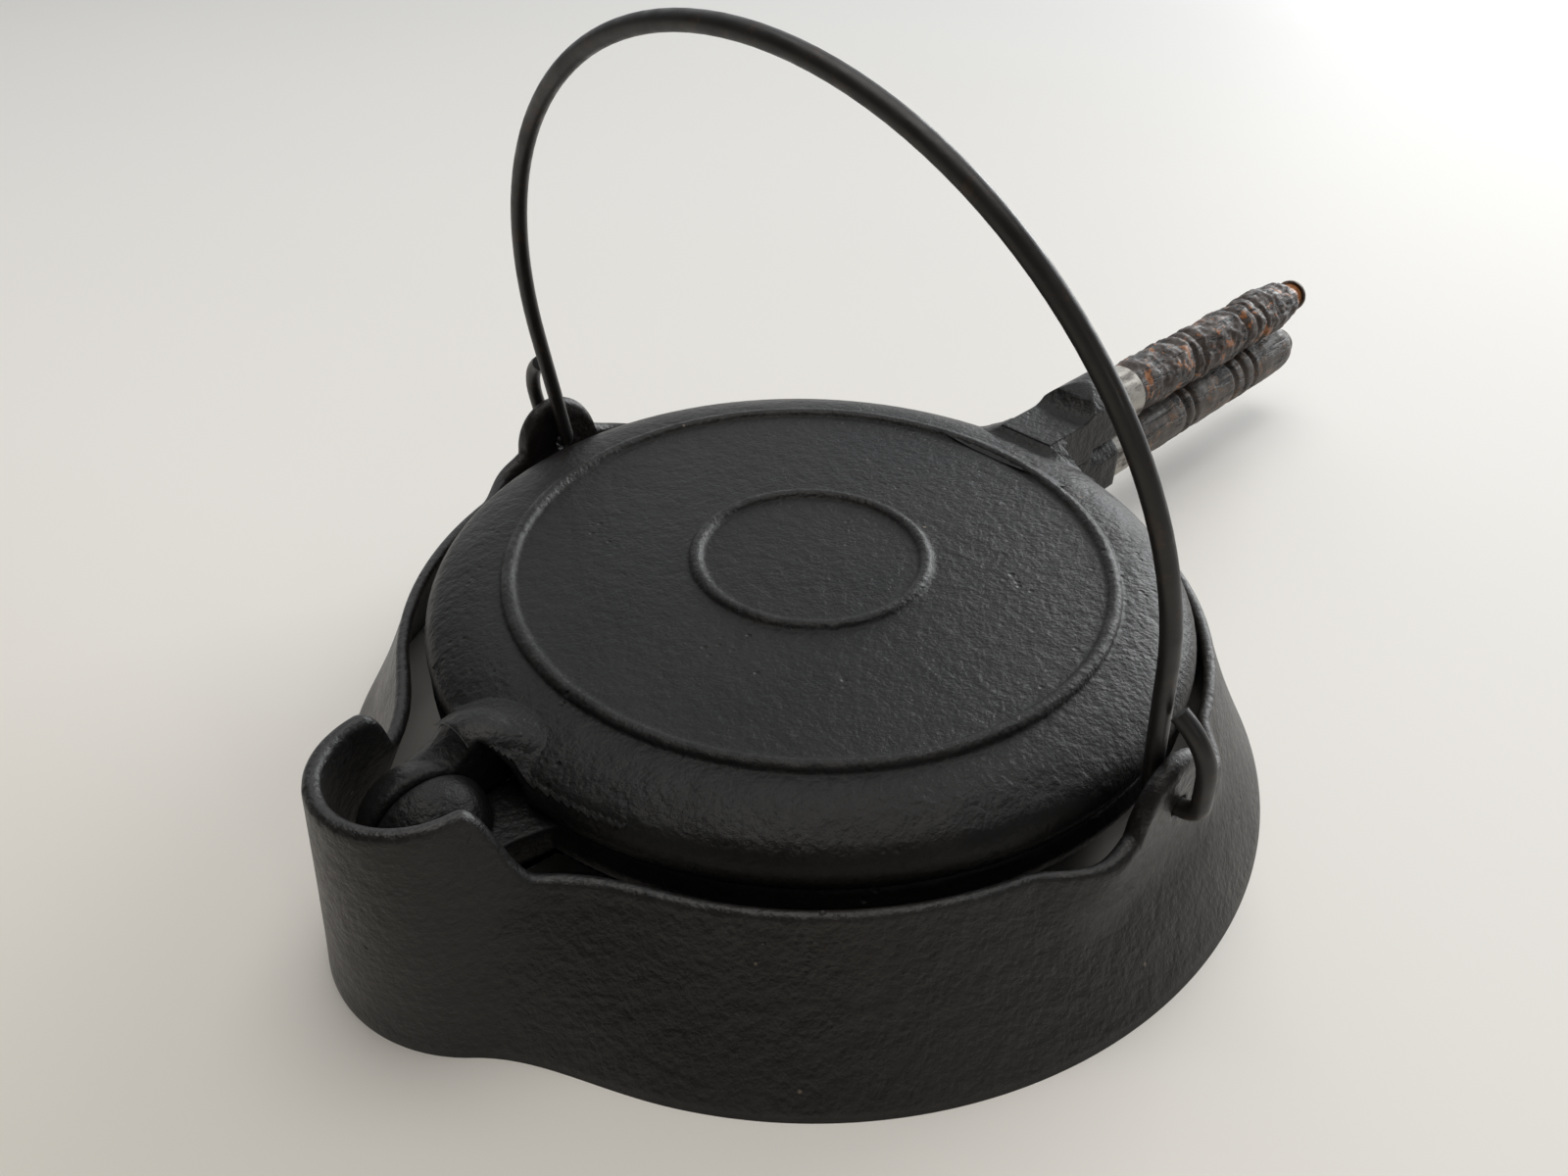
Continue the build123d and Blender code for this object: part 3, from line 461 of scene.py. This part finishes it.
def placed(name, mesh):
    piece = bpy.data.objects.new(name, mesh)
    bpy.context.scene.collection.objects.link(piece)
    return piece


def hole_cutter(place, radius, length):
    shape = bmesh.new()
    bmesh.ops.create_cone(shape, cap_ends=True, segments=40, radius1=radius, radius2=radius, depth=length)
    shape.transform(Matrix.Translation(place) @ Matrix.Rotation(math.pi / 2, 4, "X"))
    return placed("cutter", finished_mesh(shape, "cutter"))


def baked(piece):
    """Applies every modifier of a piece to its mesh."""
    done = bpy.data.meshes.new_from_object(piece.evaluated_get(bpy.context.evaluated_depsgraph_get()))
    piece.modifiers.clear()
    piece.data = done


SEAT_BALL = 13.2 * MM           # ball's centre ahead of the lower casting's end
SEAT_RADIUS = 14.1 * MM
SEAT_WALL = 5.0 * MM
SEAT_TURN = (100, 260)          # degrees round the ball, open towards the pans
SEAT_TILT = (12, 64)            # degrees up from straight under the ball
SEAT_STEPS = (30, 14)


def seat_shell(shape, centre, radius):
    """Part of a sphere round the ball, as columns of vertices."""
    turns, rings = SEAT_STEPS
    low, high = (math.radians(a) for a in SEAT_TILT)
    columns = []
    for i in range(turns + 1):
        around = math.radians(SEAT_TURN[0] + (SEAT_TURN[1] - SEAT_TURN[0]) * i / turns)
        column = []
        for k in range(rings + 1):
            tilt = low + (high - low) * k / rings
            flat = math.sin(tilt)
            spot = Vector((math.cos(around) * flat, math.sin(around) * flat, -math.cos(tilt)))
            column.append(shape.verts.new(centre + spot * radius))
        columns.append(column)
    return columns


def ball_seat():
    """Cup that carries the ball inside the lobe, open towards the pans."""
    shape = bmesh.new()
    centre = Vector((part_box("lower_paddle")[0].x + SEAT_BALL, 0, SEAM_Z))
    inner = seat_shell(shape, centre, SEAT_RADIUS)
    outer = seat_shell(shape, centre, SEAT_RADIUS + SEAT_WALL)
    turns, rings = SEAT_STEPS
    for i in range(turns):
        for k in range(rings):
            for shell in (inner, outer):
                shape.faces.new((shell[i][k], shell[i + 1][k], shell[i + 1][k + 1], shell[i][k + 1]))
        for k in (0, rings):
            shape.faces.new((inner[i][k], inner[i + 1][k], outer[i + 1][k], outer[i][k]))
    for i in (0, turns):
        for k in range(rings):
            shape.faces.new((inner[i][k], inner[i][k + 1], outer[i][k + 1], outer[i][k]))
    bmesh.ops.recalc_face_normals(shape, faces=shape.faces)
    for face in shape.faces:
        face.smooth = True
    return finished_mesh(shape, "ball_seat")


def make_stand():
    piece = placed("ring_stand", stand_mesh())
    for side in (1, -1):
        cutter = hole_cutter((0, side * EAR_FACE, EAR_AXIS), EAR_HOLE, 30 * MM)
        cut = piece.modifiers.new("hole", "BOOLEAN")
        cut.operation = "DIFFERENCE"
        cut.solver = "EXACT"
        cut.object = cutter
        baked(piece)
        bpy.data.objects.remove(cutter)
    seat = placed("ball_seat", ball_seat())
    for made in (piece, seat):
        made.data.materials.clear()
        made.data.materials.append(stand_iron)
        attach(made, "stand")
    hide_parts("base_stand")


# ---- wood grips, eroded inside their turned form ----

GRIP_VOXEL = 0.6 * MM
GRIP_BORE = 4.5 * MM            # nothing nearer the grip's middle line than this is moved
WELD = 0.001 * MM
FERRULE_END = 12 * MM           # the wood stays whole where the ferrule holds it
FAR_END = (16 * MM, 2 * MM)     # before the far end, where the taper starts and ends
LUMPS = ((9 * MM, 0.80), (4 * MM, 0.40), (1.7 * MM, 0.25))      # width and weight
EATEN_SHARE = 0.45


def recast(node, name, voxel):
    """A welded, finely meshed copy of a CAD piece, for work on its surface."""
    shape = bmesh.new()
    shape.from_mesh(NODES[node].data)
    shape.transform(NODES[node].matrix_world)
    bmesh.ops.remove_doubles(shape, verts=shape.verts, dist=WELD)
    piece = placed(name, finished_mesh(shape, name))
    even = piece.modifiers.new("even", "REMESH")
    even.mode = "VOXEL"
    even.voxel_size = voxel
    baked(piece)
    return piece


def burnt_grip(side, material, depth, end_taper):
    """Wood grip with its surface eroded in lumps by fire and wear."""
    node = side + "_grip"
    piece = recast(node, "eroded_" + node, GRIP_VOXEL)
    low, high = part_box(node)
    middle = (low + high) / 2
    for vertex in piece.data.vertices:
        spot = vertex.co
        out = Vector((0, spot.y - middle.y, spot.z - middle.z))
        if out.length < GRIP_BORE:
            continue
        lumps = sum(weight * noise.noise(spot / width) for width, weight in LUMPS)
        eaten = depth * max(0.0, EATEN_SHARE + lumps) * ease(spot.x, low.x, low.x + FERRULE_END)
        eaten += end_taper * ease(spot.x, high.x - FAR_END[0], high.x - FAR_END[1])
        vertex.co = spot - out.normalized() * min(eaten, out.length - GRIP_BORE)
    for face in piece.data.polygons:
        face.use_smooth = True
    piece.data.materials.clear()
    piece.data.materials.append(material)
    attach(piece, side + "_half")
    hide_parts(node)


# ---- cast fillets where the arms and hoods leave the pans ----

FILLET_CELL = 0.6 * MM
FILLET_REACH = 26               # cells over which a skirt may run out
FILLET_PASSES = 6
LEAST_PROUD = 0.04 * MM
TUCKED = 0.3 * MM               # how far the rest of a skirt lies under the casting
RAY_START = 60 * MM


def height_field(half, way, xs, ys):
    """How far the casting stands out from the seam at each place of a grid."""
    node = NODES[half + "_paddle"]
    shape = bmesh.new()
    shape.from_mesh(node.data)
    shape.transform(node.matrix_world)
    tree = BVHTree.FromBMesh(shape)
    shape.free()
    height = np.zeros((len(xs), len(ys)))
    for i, x in enumerate(xs):
        for j, y in enumerate(ys):
            start = Vector((x, y, SEAM_Z + way * RAY_START))
            hit = tree.ray_cast(start, Vector((0, 0, -way)))[0]
            height[i, j] = way * (hit.z - SEAM_Z) if hit else 0.0
    return height


def skirted(height, slope):
    """The height field with a slope run out from each step, then smoothed."""
    rows, columns = height.shape
    padded = np.pad(height, FILLET_REACH, mode="edge")
    skirt = height.copy()
    for i in range(2 * FILLET_REACH + 1):
        for j in range(2 * FILLET_REACH + 1):
            far = math.hypot(i - FILLET_REACH, j - FILLET_REACH)
            if far <= FILLET_REACH:
                moved = padded[i:i + rows, j:j + columns]
                skirt = np.maximum(skirt, moved - slope * far * FILLET_CELL)
    for _ in range(FILLET_PASSES):
        wide = np.pad(skirt, 1, mode="edge")
        beside = wide[:-2, 1:-1] + wide[2:, 1:-1] + wide[1:-1, :-2] + wide[1:-1, 2:]
        skirt = (beside + 2 * skirt) / 6
    return skirt


def fillet(half, name, reach, half_width, slope, least_height):
    """Cast fillet laid against a pan's steps: a sloped skirt that rounds them off."""
    way = 1 if half == "upper" else -1
    xs = np.arange(reach[0], reach[1], FILLET_CELL)
    ys = np.arange(-half_width, half_width, FILLET_CELL)
    height = height_field(half, way, xs, ys)
    skirt = skirted(height, slope)
    proud = skirt - height > LEAST_PROUD
    skirt = np.where(proud, skirt, height - TUCKED)
    shape = bmesh.new()
    grid = [[shape.verts.new((x, y, SEAM_Z + way * skirt[i, j])) for j, y in enumerate(ys)]
            for i, x in enumerate(xs)]
    for i in range(len(xs) - 1):
        for j in range(len(ys) - 1):
            block = (slice(i, i + 2), slice(j, j + 2))
            if (height[block] > least_height).all() and proud[block].any():
                corners = (grid[i][j], grid[i + 1][j], grid[i + 1][j + 1], grid[i][j + 1])
                shape.faces.new(corners).smooth = True
    bmesh.ops.delete(shape, geom=[v for v in shape.verts if not v.link_faces], context="VERTS")
    if way < 0:
        bmesh.ops.reverse_faces(shape, faces=shape.faces)
    piece = placed(half + "_" + name, finished_mesh(shape, half + "_" + name))
    piece.data.materials.append(pan_iron)
    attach(piece, half + "_half")


make_stand()
burnt_grip("upper", charred_wood, 1.5 * MM, 2.6 * MM)
burnt_grip("lower", worn_wood, 0.35 * MM, 0.3 * MM)
for half in ("upper", "lower"):
    fillet(half, "arm_root", (72 * MM, 97 * MM), 24 * MM, 0.62, 5 * MM)
    fillet(half, "hood_root", (-97 * MM, -74 * MM), 34 * MM, 0.80, 7 * MM)


# ---- floor, light and camera ----

FLOOR_HALF_SIDE = 4.0
WINDOW_DIRECTION = (0.82, 0.40, 0.12)
OBJECT_MIDDLE = (0, 0, 0.03)

def floor():
    """Pale table top with painted shade: darker and warmer towards the near left, as in a room with one
    window, and a little darker and cooler towards the far right.
    """
    mesh = bpy.data.meshes.new("floor")
    shape = bmesh.new()
    bmesh.ops.create_grid(shape, x_segments=1, y_segments=1, size=FLOOR_HALF_SIDE)
    shape.to_mesh(mesh)
    shape.free()
    table = bpy.data.objects.new("floor", mesh)
    bpy.context.scene.collection.objects.link(table)
    s = Shader("floor")
    x, y = s.axes()[:2]
    # distance towards the far right of the photograph's view
    yaw = math.radians(CAMERA_YAW)
    across_x = s.math("MULTIPLY", x, math.sin(yaw))
    across = s.math("ADD", across_x, s.math("MULTIPLY", y, -math.cos(yaw)))
    away_x = s.math("MULTIPLY", x, math.cos(yaw))
    away = s.math("ADD", away_x, s.math("MULTIPLY", y, math.sin(yaw)))
    reach = s.math("ADD", s.math("MULTIPLY", across, 0.5), away)
    # painted shade: the floor's colour runs a little darker and cooler towards the far right
    shade = s.fade(reach, -0.10, 1.30, smooth=False)
    colour = s.mix(shade, (0.86, 0.83, 0.785), (0.80, 0.80, 0.785))
    # painted shade: darker and warmer towards the near left, away from the window
    colour = s.mix(s.fade(reach, -0.36, 0.02, 1.0, 0.0), colour, (0.74, 0.69, 0.60))
    colour = s.mix(s.math("MULTIPLY", s.noise(0.25, detail=3), 0.06), colour, (0.46, 0.43, 0.38))
    s.set(base=colour, rough=0.62, metal=0.0, specular=0.25)
    mesh.materials.append(s.material)


def area_light(name, place, target, size, power, colour=(1, 1, 1)):
    light = bpy.data.lights.new(name, "AREA")
    light.shape = "RECTANGLE"
    light.size, light.size_y = size
    light.energy = power
    light.color = colour
    lamp = bpy.data.objects.new(name, light)
    lamp.location = place
    aim = Vector(target) - Vector(place)
    lamp.rotation_euler = aim.to_track_quat("-Z", "Y").to_euler()
    bpy.context.scene.collection.objects.link(lamp)


def room():
    """A pale room, bright towards the window ahead on the right and dim behind the camera."""
    world = bpy.data.worlds.new("room")
    world.use_nodes = True
    tree = world.node_tree
    background = tree.nodes["Background"]
    coords = tree.nodes.new("ShaderNodeTexCoord")
    facing = tree.nodes.new("ShaderNodeVectorMath")
    facing.operation = "DOT_PRODUCT"
    facing.inputs[1].default_value = Vector(WINDOW_DIRECTION).normalized()
    tree.links.new(coords.outputs["Generated"], facing.inputs[0])
    ramp = tree.nodes.new("ShaderNodeMapRange")
    ramp.interpolation_type = "SMOOTHSTEP"
    tree.links.new(facing.outputs["Value"], ramp.inputs["Value"])
    for name, value in (("From Min", -0.10), ("From Max", 0.95), ("To Min", 0.06), ("To Max", 0.90)):
        ramp.inputs[name].default_value = value
    tree.links.new(ramp.outputs["Result"], background.inputs["Strength"])
    background.inputs["Color"].default_value = (0.94, 0.97, 1.0, 1)
    bpy.context.scene.world = world


def camera():
    yaw, pitch, roll = (math.radians(a) for a in (CAMERA_YAW, CAMERA_PITCH, CAMERA_ROLL))
    forward = Vector((math.cos(yaw) * math.cos(pitch), math.sin(yaw) * math.cos(pitch), -math.sin(pitch)))
    level = Vector((math.sin(yaw), -math.cos(yaw), 0))
    over = level.cross(forward)
    right = math.cos(roll) * level + math.sin(roll) * over
    up = -math.sin(roll) * level + math.cos(roll) * over
    turn = Matrix((right, up, -forward)).transposed().to_4x4()
    lens = bpy.data.cameras.new("camera")
    lens.sensor_fit = "HORIZONTAL"
    lens.sensor_width = SENSOR_WIDTH
    lens.lens = SENSOR_WIDTH * FOCAL_PIXELS / FRAME_WIDTH
    lens.clip_start = 0.01
    lens.clip_end = 20
    eye = bpy.data.objects.new("camera", lens)
    eye.matrix_world = Matrix.Translation(CAMERA_PLACE) @ turn
    bpy.context.scene.collection.objects.link(eye)
    bpy.context.scene.camera = eye


floor()
room()
camera()
area_light("window", (2.60, 0.15, 0.70), OBJECT_MIDDLE, (1.9, 1.25), 46, (0.97, 0.99, 1.0))
area_light("ceiling", (0.05, 0.05, 1.7), (0, 0, 0), (1.4, 1.4), 16, (1.0, 0.975, 0.94))
area_light("far_lamp", (-0.25, -0.95, 0.42), OBJECT_MIDDLE, (0.10, 0.10), 0.3)
bpy.context.scene.view_settings.view_transform = "Standard"
